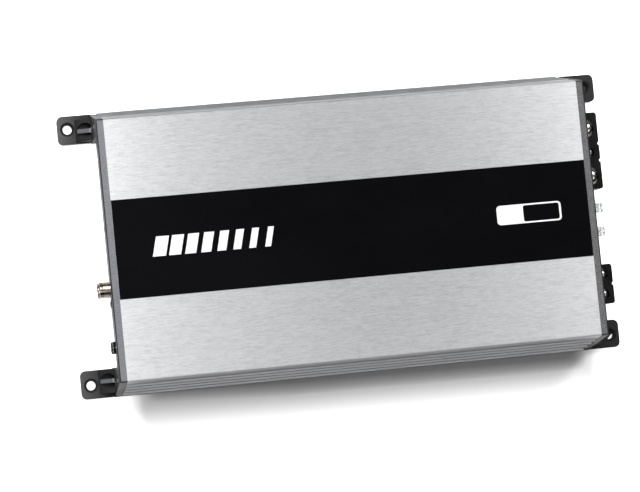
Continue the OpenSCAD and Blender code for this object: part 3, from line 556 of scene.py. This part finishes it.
def screw_mesh(head_r, head_h, shank_r, length, flat):
    """A screw whose shank points down; a flat head's top is at z = 0, and a round head stands on it."""
    if flat:
        head = [(0, 0), (head_r * 0.96, 0), (head_r, -0.12 * head_h), (shank_r, -head_h)]
        under_head, peak = -head_h, 0.0
    else:
        rim = 0.3
        dome = [(head_r * math.sin(a), head_h * (rim + (1 - rim) * math.cos(a)))
                for a in (math.radians(9 * i) for i in range(1, 11))]
        head = [(0, head_h), *dome, (head_r, 0)]
        under_head, peak = 0.0, head_h
    bm = bmesh.new()
    lathe(bm, head + thread(shank_r, under_head, length, 0.28 * shank_r + 0.2 * MM))
    solid = to_mesh("screw", bm)
    recess = bmesh.new()
    prism(recess, cross(head_r * 0.56, head_r * 0.12), peak - 0.62 * head_h, peak + 0.1 * MM, taper=0.6)
    return carve(solid, to_mesh("recess", recess))


def screws(name, direction, head_h, shank_r, flat=False, body=ROOT):
    """Puts a detailed screw in the place of each solid of a CAD node of screws.

    direction is where the heads point, or None where they point away from the middle along X.
    """
    bm = bmesh.new()
    pattern = None
    for i, box in enumerate(solids(name)):
        way = Vector(direction or (math.copysign(1, middle(box).x), 0, 0))
        axis = max(range(3), key=lambda k: abs(way[k]))
        size = box[1] - box[0]
        end = middle(box)
        end[axis] = box[1][axis] if way[axis] > 0 else box[0][axis]
        if pattern is None:
            head_r = size[(axis + 1) % 3] / 2
            length = size[axis] if flat else size[axis] - head_h
            pattern = screw_mesh(head_r, head_h, shank_r, length, flat)
        seat = end if flat else end - way * head_h
        # Each screw stopped turning at another angle, in radians
        stopped = Matrix.Rotation(0.7 * i, 4, "Z")
        copy = pattern.copy()
        copy.transform(aim(seat, way) @ stopped)
        bm.from_mesh(copy)
    mesh = bpy.data.meshes.new(name + "_detailed")
    bm.to_mesh(mesh)
    bm.free()
    piece(name + "_detailed", mesh, SLOTS[name], body, (name,))


screws("end_cap_screws", None, 2.0 * MM, 1.4 * MM)
screws("panel_screws", None, 1.1 * MM, 1.2 * MM, flat=True)
screws("rca_fixing_screw", (-1, 0, 0), 2.3 * MM, 1.38 * MM)
screws("board_screws", (0, 0, 1), 1.8 * MM, 1.2 * MM)
screws("bottom_cover_screws", (0, 0, -1), 1.2 * MM, 1.4 * MM, flat=True)
# Radius of each terminal screw's shank, in mm
TERMINAL_SHANKS = {"ground_screw": 2.45, "remote_screw": 1.45, "positive_screw": 2.45,
                   "speaker_negative_screw": 1.95, "speaker_positive_screw": 1.95}
for screw, shank in TERMINAL_SHANKS.items():
    screws(screw, (0, 0, 1), 2.4 * MM, shank * MM, body=screw)


# ---------------------------------------------------------------- jacks and controls

def jack_shells():
    """Turned shells with a rolled rim, a groove behind it and a collar at the panel."""
    bm = bmesh.new()
    for box in solids("rca_shells"):
        collar = (box[1].y - box[0].y) / 2
        outer = collar - 0.3 * MM
        barrel = outer - 0.05 * MM
        groove = outer - 0.15 * MM
        inner = outer - 0.45 * MM
        collar_end = 3.4 * MM
        length = box[1].x - box[0].x
        rim = 0.22 * MM
        profile = [(inner, 0), (collar, 0), (collar, collar_end), (barrel, collar_end + 0.1 * MM),
                   (barrel, length - 2.3 * MM), (groove, length - 2.1 * MM),
                   (groove, length - 1.5 * MM), (outer, length - 1.3 * MM),
                   *arc((outer - rim, length - rim), rim, 0, 180, 8),
                   (inner, length - 0.3 * MM), (inner, 0)]
        end = Vector((box[1].x, middle(box).y, middle(box).z))
        lathe(bm, profile, aim(end, (-1, 0, 0)), 64)
    bmesh.ops.remove_doubles(bm, verts=bm.verts, dist=WELD)
    piece("jack_shells", to_mesh("jack_shells", bm), "nickel", ROOT, ("rca_shells",))


def control_knob(name):
    """A fluted knob with a white pointer let into its face and side."""
    box = node_box(name)
    low, high = box
    centre = middle(box)
    radius = (high.z - low.z) / 2
    length = high.x - low.x
    shaft, skirt, edge = 1.5 * MM, 5.5 * MM, 0.6 * MM
    flutes, flute_depth = 18, 0.16 * MM

    def fluted(angle, r):
        if r <= radius * 0.95:
            return r
        return r - flute_depth * (0.5 + 0.5 * math.cos(flutes * angle))

    bm = bmesh.new()
    profile = [(0, 0), (shaft, 0), (shaft, skirt), (radius * 0.99, skirt), (radius, skirt + 0.3 * MM),
               (radius, length - 0.7 * MM), *arc((radius - edge, length - edge), edge, 0, 90, 6),
               (radius * 0.55, length), (radius * 0.5, length - 0.25 * MM), (0, length - 0.3 * MM)]
    lathe(bm, profile, aim((high.x, centre.y, centre.z), (-1, 0, 0)), 144, fluted)
    piece(name + "_fluted", to_mesh(name + "_fluted", bm), "knob_black", name, (name,))

    bm = bmesh.new()
    half = 0.32 * MM
    # Start and end along X from the face, and start and end away from the axis as parts of the radius
    for start, end, inner, outer in ((0, 0.5 * MM, 0.2, 0.9), (1.4 * MM, 3.2 * MM, 0.8, 1)):
        block(bm, (low.x + start, centre.y - half, centre.z + radius * inner),
              (low.x + end, centre.y + half, centre.z + radius * outer))
    piece(name + "_pointer", to_mesh(name + "_pointer", bm), "white_mark", name, bevel=0.05 * MM)


jack_shells()
for knob_name in ("level_knob", "lowpass_knob"):
    control_knob(knob_name)


# ---------------------------------------------------------------- terminal blocks

BLOCK_TOP, BLOCK_BOTTOM = 34 * MM, 13 * MM
CLAMP_LOW, CLAMP_HIGH = 15 * MM, 30 * MM
CLAMP_HALF_DEPTH = 4.3 * MM
FLANGE = 2.3 * MM
# Of a pole, in mm: radius of the well above its screw, how far the well is stretched along Y, how much
# wider the hole in the housing is than the wire entry behind it, and width of its metal clamp
POWER_POLE = (3.5, 1.2, 0.4, 12)
REMOTE_POLE = (2.3, 0.2, 1, 6)
SPEAKER_POLE = (2.7, 0.3, 0.4, 8.5)
POLES = {"ground": POWER_POLE, "remote": REMOTE_POLE, "positive": POWER_POLE,
         "speaker_negative": SPEAKER_POLE, "speaker_positive": SPEAKER_POLE}


def stadium(centre, radius, stretch):
    """Outline of a circle stretched along Y."""
    upper = arc((centre[0], centre[1] + stretch), radius, 0, 180, 16)
    lower = arc((centre[0], centre[1] - stretch), radius, 180, 360, 16)
    return upper + lower


def block_outline(back, front, low, high, seams):
    """Outline of a terminal block: rounded outer corners and a rounded notch at each seam."""
    corner, notch = 1.5 * MM, 0.85 * MM
    flare = notch + 0.4 * MM
    points = [(back, low), *arc((front - corner, low + corner), corner, 270, 360, 6)]
    for y in seams:
        points.append((front, y - flare))
        for angle in range(-90, 91, 20):
            turn = math.radians(angle)
            points.append((front - notch * math.cos(turn), y + notch * math.sin(turn)))
        points.append((front, y + flare))
    return points + [*arc((front - corner, high - corner), corner, 0, 90, 6), (back, high)]


def terminal_block(name, poles):
    """A moulded block with a well above each screw and a framed wire entry in its outer face."""
    low, high = node_box(name)
    parts = solids(name)
    seams = [(a[1].y + b[0].y) / 2 for a, b in zip(parts, parts[1:])]
    entries = {m["name"].replace("_wire", "").replace("_entry", ""): m for m in frame["record"]["mounts"]}
    bm = bmesh.new()
    prism(bm, block_outline(low.x + FLANGE, high.x, low.y, high.y, seams), BLOCK_BOTTOM, BLOCK_TOP)
    shape = to_mesh(name, bm)
    wells, pockets, bores, rims = (bmesh.new() for _ in range(4))
    gap = 0.05 * MM
    for pole in poles:
        mount = entries[pole]
        x, y, z = mount["pos_m"]
        well_r, stretch, lead_in, clamp_width = POLES[pole]
        entry = (mount["dims"]["r_mm"] + lead_in) * MM
        half = clamp_width / 2 * MM + gap
        prism(wells, stadium((x, y), well_r * MM, stretch * MM), CLAMP_HIGH - 1 * MM, BLOCK_TOP + 1 * MM)
        block(pockets, (x - CLAMP_HALF_DEPTH, y - half, CLAMP_LOW - gap),
              (x + CLAMP_HALF_DEPTH, y + half, CLAMP_HIGH + gap))
        outwards = aim((x, y, z), (1, 0, 0))
        past_face = 6 * MM
        lathe(bores, [(0, 3 * MM), (entry, 3 * MM), (entry, past_face), (0, past_face)], outwards, 40)
        rim, rim_foot = entry + 0.8 * MM, 4.85 * MM
        lathe(rims, [(0, rim_foot), (rim - 0.5 * MM, rim_foot), (rim, past_face), (0, past_face)],
              outwards, 40)
    for cutter in (wells, pockets, bores, rims):
        shape = carve(shape, to_mesh("cutter", cutter))
    whole = bmesh.new()
    whole.from_mesh(shape)
    for part in parts:
        block(whole, part[0], (low.x + FLANGE, part[1].y, high.z))
    piece(name + "_moulded", to_mesh(name + "_moulded", whole), "black_plastic", ROOT, (name,),
          bevel=0.16 * MM)


terminal_block("power_block", ("ground", "remote", "positive"))
terminal_block("speaker_block", ("speaker_negative", "speaker_positive"))


# ---------------------------------------------------------------- fuses

# Height of a fuse's wide head, depth of the hollow's roof below its top, and half the hollow's size
HEAD = 4 * MM
ROOF = 3 * MM
HOLLOW_Y, HOLLOW_Z = 0.9 * MM, 8.2 * MM


def centred_block(bm, x_range, centre, half_y, half_z):
    """A box between two X values, centred on a point's Y and Z."""
    block(bm, (x_range[0], centre.y - half_y, centre.z - half_z),
          (x_range[1], centre.y + half_y, centre.z + half_z))


def fuse_housing(body):
    """A clear housing: a wide head with a hollow top and two test windows, over slimmer walls."""
    box = node_box(body + "_housing")
    low, high = box
    centre = middle(box)
    thick, wide = (high.y - low.y) / 2, (high.z - low.z) / 2
    head = rounded_rectangle((-thick, -wide), (thick, wide), 0.9 * MM, 5)
    slim = [(y * 0.82, z * 0.91) for y, z in head]
    along_x = Matrix(((0, 0, 1, 0), (1, 0, 0, centre.y), (0, 1, 0, centre.z), (0, 0, 0, 1)))

    bm = bmesh.new()
    prism(bm, head, high.x - HEAD, high.x, along_x)
    upper = to_mesh("head", bm)
    top, hollow = bmesh.new(), bmesh.new()
    above = high.x + 1 * MM
    centred_block(top, (high.x - 0.9 * MM, above), centre, 1.4 * MM, 3.2 * MM)
    for side in (-1, 1):
        window = centre + Vector((0, 0, side * 6.3 * MM))
        centred_block(top, (high.x - 2.6 * MM, above), window, 0.75 * MM, 1.1 * MM)
    centred_block(hollow, (high.x - HEAD - 1 * MM, high.x - ROOF), centre, HOLLOW_Y, HOLLOW_Z)
    for cutter in (top, hollow):
        upper = carve(upper, to_mesh("cutter", cutter))

    walls, inside = bmesh.new(), bmesh.new()
    prism(walls, slim, low.x, high.x - HEAD, along_x)
    centred_block(inside, (low.x - 1 * MM, high.x - ROOF), centre, HOLLOW_Y, HOLLOW_Z)
    whole = bmesh.new()
    whole.from_mesh(upper)
    whole.from_mesh(carve(to_mesh("walls", walls), to_mesh("cutter", inside)))
    piece(body + "_clear", to_mesh(body + "_clear", whole), "fuse_clear", body, (body + "_housing",),
          bevel=0.2 * MM)


def fuse_metal(body):
    """Two blades with chamfered tips, and the S-shaped link between them."""
    low, high = node_box(body + "_blades")
    centre = middle(node_box(body + "_housing"))
    half = (high.y - low.y) / 2
    reach = high.z - centre.z
    tip, end = low.x, high.x
    blade_width, tip_chamfer, tip_length, shoulder = 5.2 * MM, 0.9 * MM, 1.2 * MM, 0.6 * MM
    in_plane = Matrix(((1, 0, 0, 0), (0, 0, 1, centre.y), (0, 1, 0, centre.z), (0, 0, 0, 1)))
    bm = bmesh.new()
    for side in (-1, 1):
        inner, outer = side * (reach - blade_width), side * reach
        outline = [(tip, inner + side * tip_chamfer), (tip, outer - side * tip_chamfer),
                   (tip + tip_length, outer), (end - 2 * MM, outer),
                   (end - shoulder, outer - side * 1.2 * MM), (end - shoulder, inner + side * shoulder),
                   (tip + 7 * MM, inner), (tip + tip_length, inner)]
        prism(bm, outline, -half, half, in_plane)
    steps, swing, link_half_width = 24, 1.6 * MM, 0.45 * MM
    spine = []
    for i in range(steps + 1):
        part = i / steps
        spine.append((end - swing - swing * math.sin(math.tau * part), (2 * part - 1) * (reach - 5 * MM)))
    link = [(x + link_half_width, z) for x, z in spine]
    link += [(x - link_half_width, z) for x, z in reversed(spine)]
    prism(bm, link, -half * 0.6, half * 0.6, in_plane)
    piece(body + "_metal", to_mesh(body + "_metal", bm), "fuse_metal", body, (body + "_blades",),
          bevel=0.06 * MM)


for fuse_body in ("fuse_1", "fuse_2"):
    fuse_housing(fuse_body)
    fuse_metal(fuse_body)


# ---------------------------------------------------------------- coils and capacitors

def winding(name, core, turns):
    """Turns of round wire about a ring core, each a rounded rectangle in a plane through the axis."""
    box = node_box(core)
    low, high = box
    centre = middle(box)
    wire = (node_box(name)[1].x - high.x) / 2
    ring_r = (high.x - low.x) / 2
    hole_r = min((Vector((v.co.x - centre.x, v.co.y - centre.y)).length for v in nodes[core].data.vertices))
    half = (high.z - low.z) / 2
    path = rounded_rectangle((hole_r - wire, -half - wire), (ring_r + wire, half + wire), 1.6 * wire, 4)
    sides = 8
    drawn_wire = 0.97 * wire
    bm = bmesh.new()
    for turn in range(turns):
        spin = Matrix.Rotation(math.tau * turn / turns, 3, "Z")
        loops = []
        for i, (x, z) in enumerate(path):
            before, after = path[i - 1], path[(i + 1) % len(path)]
            along = Vector((after[0] - before[0], 0, after[1] - before[1])).normalized()
            out = Vector((along.z, 0, -along.x))
            loop = []
            for k in range(sides):
                angle = math.tau * k / sides
                offset = (out * math.cos(angle) + Vector((0, math.sin(angle), 0))) * drawn_wire
                loop.append(bm.verts.new(centre + spin @ (Vector((x, 0, z)) + offset)))
            loops.append(loop)
        for i, loop in enumerate(loops):
            other = loops[(i + 1) % len(loops)]
            for k in range(sides):
                j = (k + 1) % sides
                bm.faces.new((loop[k], loop[j], other[j], other[k]))
    piece(name + "_wire", to_mesh(name + "_wire", bm), "copper", ROOT, (name,))


def capacitors(name):
    """Cans in a printed sleeve with a crimped groove, and a scored aluminium top."""
    sleeve, tops = bmesh.new(), bmesh.new()
    for box in solids(name):
        radius = (box[1].x - box[0].x) / 2
        centre = middle(box)
        height = box[1].z - box[0].z
        foot = Matrix.Translation((centre.x, centre.y, box[0].z))
        groove, groove_half, shoulder = 3 * MM, 0.9 * MM, 0.9 * MM
        top_r, lip_r = radius - 1.6 * MM, radius - 1.5 * MM
        lathe(sleeve, [(0, 0), (radius - 0.5 * MM, 0), (radius, 0.6 * MM), (radius, groove - groove_half),
                       (radius - 0.7 * MM, groove), (radius, groove + groove_half),
                       (radius, height - shoulder), (radius - shoulder, height),
                       (lip_r, height), (top_r, height - 0.3 * MM), (0, height - 0.3 * MM)], foot, 64)
        disc = bmesh.new()
        disc_low, disc_high = height - 0.4 * MM, height - 0.1 * MM
        lathe(disc, [(0, disc_low), (top_r, disc_low), (top_r, disc_high), (0, disc_high)], foot, 64)
        scored = to_mesh("disc", disc)
        for angle in (0, 60, 120):
            score = bmesh.new()
            prism(score, rectangle(radius * 0.62, 0.15 * MM), height - 0.22 * MM, height,
                  foot @ Matrix.Rotation(math.radians(angle), 4, "Z"))
            scored = carve(scored, to_mesh("score", score))
        tops.from_mesh(scored)
    piece(name + "_sleeves", to_mesh(name + "_sleeves", sleeve), SLOTS[name], ROOT, (name,))
    piece(name + "_tops", to_mesh(name + "_tops", tops), "fuse_metal")


winding("toroid_winding", "toroid_core", 40)
winding("inductor_winding", "inductor_core", 22)
for can in ("supply_capacitors", "rail_capacitors"):
    capacitors(can)


# ---------------------------------------------------------------- printed marks on the end panels

INK = 0.04 * MM


def panel_mark(bm, face, y, z, size, angle=0.0):
    """A thin printed rectangle on a panel's outer face; face is its X, size its length and width."""
    turn = Matrix.Rotation(angle, 2)
    corners = [turn @ Vector(corner) for corner in rectangle(size[0] / 2, size[1] / 2)]
    depths = (face, face + math.copysign(INK, face))
    ends = [[bm.verts.new((x, y + c.x, z + c.y)) for c in corners] for x in depths]
    bm.faces.new(ends[0])
    bm.faces.new(ends[1])
    for i in range(4):
        j = (i + 1) % 4
        bm.faces.new((ends[0][i], ends[0][j], ends[1][j], ends[1][i]))


def dial(bm, node, inner, long):
    """Eleven ticks over 280 degrees round a control; the first, middle and last are long."""
    centre = middle(node_box(node))
    face = node_box("input_panel")[0].x
    for i in range(11):
        angle = math.radians(-50 + 28 * i)
        length = long if i % 5 == 0 else long * 0.6
        radius = inner + length / 2
        panel_mark(bm, face, centre.y + radius * math.cos(angle), centre.z + radius * math.sin(angle),
                   (length, 0.25 * MM), angle)


def panel_prints():
    """Dials round the controls, and plus and minus signs above the terminals."""
    bm = bmesh.new()
    for node in ("level_knob", "lowpass_knob"):
        dial(bm, node, 4.2 * MM, 1.1 * MM)
    for node in ("bass_trimmer", "subsonic_trimmer"):
        dial(bm, node, 3.3 * MM, 0.8 * MM)
    face = node_box("power_panel")[1].x
    sign_z, bar, stroke = 38.5 * MM, 2.4 * MM, 0.4 * MM
    for mount in frame["record"]["mounts"]:
        name, y = mount["name"], mount["pos_m"][1]
        if "positive" in name or "negative" in name or "ground" in name:
            panel_mark(bm, face, y, sign_z, (bar, stroke))
        if "positive" in name:
            for offset in (0.7 * MM, -0.7 * MM):
                panel_mark(bm, face, y, sign_z + offset, (stroke, 1.0 * MM))
    piece("panel_marks", to_mesh("panel_marks", bm), "white_mark")


panel_prints()


# ---------------------------------------------------------------- stage

def floor_paper():
    """White paper with a painted glow, apart from a soft shadow along the object's front lower edge,
    painted as well as cast by the lights.

    It also has painted shade under the holes of the two right-hand ears. away is the distance from that
    edge.
    """
    s = Shader("floor_paper", (0.92, 0.92, 0.92), 0.0, 0.85, Emission_Color=(1, 1, 1, 1))
    x, y = s.along("X"), s.along("Y")
    half_length, half_width = cad_box[1][0], cad_box[1][1]

    # The painted shadow narrows to the left, by a slope that starts at an X
    slopes = [s.maths("MULTIPLY", s.maths("SUBTRACT", start, x), slope)
              for start, slope in ((100 * MM, 0.011), (-5 * MM, 0.05))]
    slant = s.maths("MAXIMUM", *slopes)
    front = s.maths("ADD", s.maths("SUBTRACT", s.maths("MULTIPLY", y, -1.0), half_width), slant)
    shadow_x, shadow_half_length = 8 * MM, 114 * MM
    side = s.maths("SUBTRACT", s.maths("ABSOLUTE", s.maths("SUBTRACT", x, shadow_x)), shadow_half_length)
    behind = s.maths("ADD", y, half_width)
    away = s.maths("SMOOTH_MAX", s.maths("MAXIMUM", front, behind), side, 8 * MM)

    hole_x, hole_y, hole_r = half_length - 5.5 * MM, half_width - 7.5 * MM, 5 * MM
    from_x = s.maths("SUBTRACT", x, hole_x)
    from_y = s.maths("SUBTRACT", s.maths("ABSOLUTE", y), hole_y)
    squares = s.maths("ADD", s.maths("POWER", from_x, 2.0), s.maths("POWER", from_y, 2.0))
    outside_hole = s.spread(s.maths("SQRT", squares), 0, 1, hole_r, hole_r + 0.4 * MM)
    # A slanting line across the front hole, past which the painted shade stops and the paper is lit again
    slant_start = 217.9 * MM
    past_slant = s.spread(s.maths("SUBTRACT", x, y), 0, 1, slant_start, slant_start + 0.6 * MM)
    lit = s.maths("MAXIMUM", outside_hole, past_slant)

    paper = s.blend(s.noise(2 * MM), (0.91, 0.91, 0.91), (0.93, 0.93, 0.93))
    # Painted shadow: the paper darkens towards the object's front lower edge
    paper = s.blend(s.spread(away, 0.4, 1.0, 3 * MM, 10.5 * MM), (0.0, 0.0, 0.0), paper)
    # Painted shade under the holes of the right-hand ears
    paper = s.blend(lit, (0.03, 0.03, 0.03), paper)
    # Painted glow, which grows with the distance from the front edge and beside the shadow's ends, and is
    # cut off under the holes
    beside = s.spread(side, 0.0, 0.6, 12 * MM, 22 * MM)
    far_off = s.spread(away, 0.0, 0.6, 150 * MM, 300 * MM)
    painted_glow = s.maths("ADD", s.spread(away, 0.0, 0.3, 7 * MM, 22 * MM), s.maths("MAXIMUM", beside, far_off))
    s.link(s.maths("MULTIPLY", painted_glow, lit), s.bsdf.inputs["Emission Strength"])
    return s.finish(paper)


def add_floor():
    """A sheet just below the object's feet."""
    bm = bmesh.new()
    bmesh.ops.create_grid(bm, x_segments=1, y_segments=1, size=3.0)
    mesh = to_mesh("floor", bm)
    mesh.materials.append(floor_paper())
    floor = bpy.data.objects.new("floor", mesh)
    bpy.context.scene.collection.objects.link(floor)
    floor.location.z = -0.1 * MM


def add_light(name, place, size, brightness):
    """A rectangular softbox aimed at the object; brightness is in W per square metre."""
    data = bpy.data.lights.new(name, "AREA")
    data.shape = "RECTANGLE"
    data.size, data.size_y = size
    data.energy = brightness * size[0] * size[1]
    light = bpy.data.objects.new(name, data)
    light.location = place
    way = Vector((0, 0, 20 * MM)) - Vector(place)
    light.rotation_euler = way.to_track_quat("-Z", "Y").to_euler()
    bpy.context.scene.collection.objects.link(light)


def add_world():
    """A dim room under a slightly lighter ceiling."""
    world = bpy.data.worlds.new("studio")
    world.use_nodes = True
    tree = world.node_tree
    back = tree.nodes["Background"]
    coords = tree.nodes.new("ShaderNodeTexCoord")
    split = tree.nodes.new("ShaderNodeSeparateXYZ")
    ramp = tree.nodes.new("ShaderNodeMapRange")
    for name, value in (("From Min", 0.88), ("From Max", 0.96), ("To Min", 0.015), ("To Max", 0.02)):
        ramp.inputs[name].default_value = value
    tree.links.new(coords.outputs["Generated"], split.inputs["Vector"])
    tree.links.new(split.outputs["Z"], ramp.inputs["Value"])
    tree.links.new(ramp.outputs["Result"], back.inputs["Strength"])
    back.inputs["Color"].default_value = (1, 1, 1, 1)
    bpy.context.scene.world = world


def add_camera():
    """The photograph's viewpoint: almost straight above, a little left of centre."""
    data = bpy.data.cameras.new("camera")
    data.sensor_width = 36
    data.lens = 134
    data.clip_end = 20
    camera = bpy.data.objects.new("camera", data)
    roll, pitch, yaw = (math.radians(angle) for angle in (5.61, -2.58, 9.44))
    turn = Matrix.Rotation(roll, 3, "Z") @ Matrix.Rotation(pitch, 3, "X") @ Matrix.Rotation(yaw, 3, "Y")
    place = Matrix.Translation((-0.22905, -0.06491, 1.30137))
    camera.matrix_world = place @ turn.transposed().to_4x4()
    bpy.context.scene.collection.objects.link(camera)
    bpy.context.scene.camera = camera


# Name, place, size in metres, and brightness in W per square metre
SOFTBOXES = (("left_edge", (-0.26, 0.15, 1.15), (0.2, 1.0), 3.9),
             ("left_softbox", (-0.55, 0.15, 1.15), (0.3, 1.0), 5.7),
             ("left_back_edge", (-0.26, 0.55, 1.1), (0.2, 0.8), 17.2),
             ("left_back_softbox", (-0.55, 0.6, 1.05), (0.3, 0.8), 39.5),
             ("right_softbox", (0.8, 0.8, 1.05), (0.3, 0.8), 30),
             ("right_back_softbox", (0.8, 0.65, 1.0), (0.3, 0.6), 12.8),
             ("front_softbox", (0.1, -0.75, 1.6), (2.6, 0.4), 10.3),
             ("back_softbox", (0.15, 0.75, 1.6), (2.2, 0.4), 8.7))
add_floor()
add_world()
for softbox in SOFTBOXES:
    add_light(*softbox)
add_camera()
bpy.context.scene.view_settings.view_transform = "Standard"
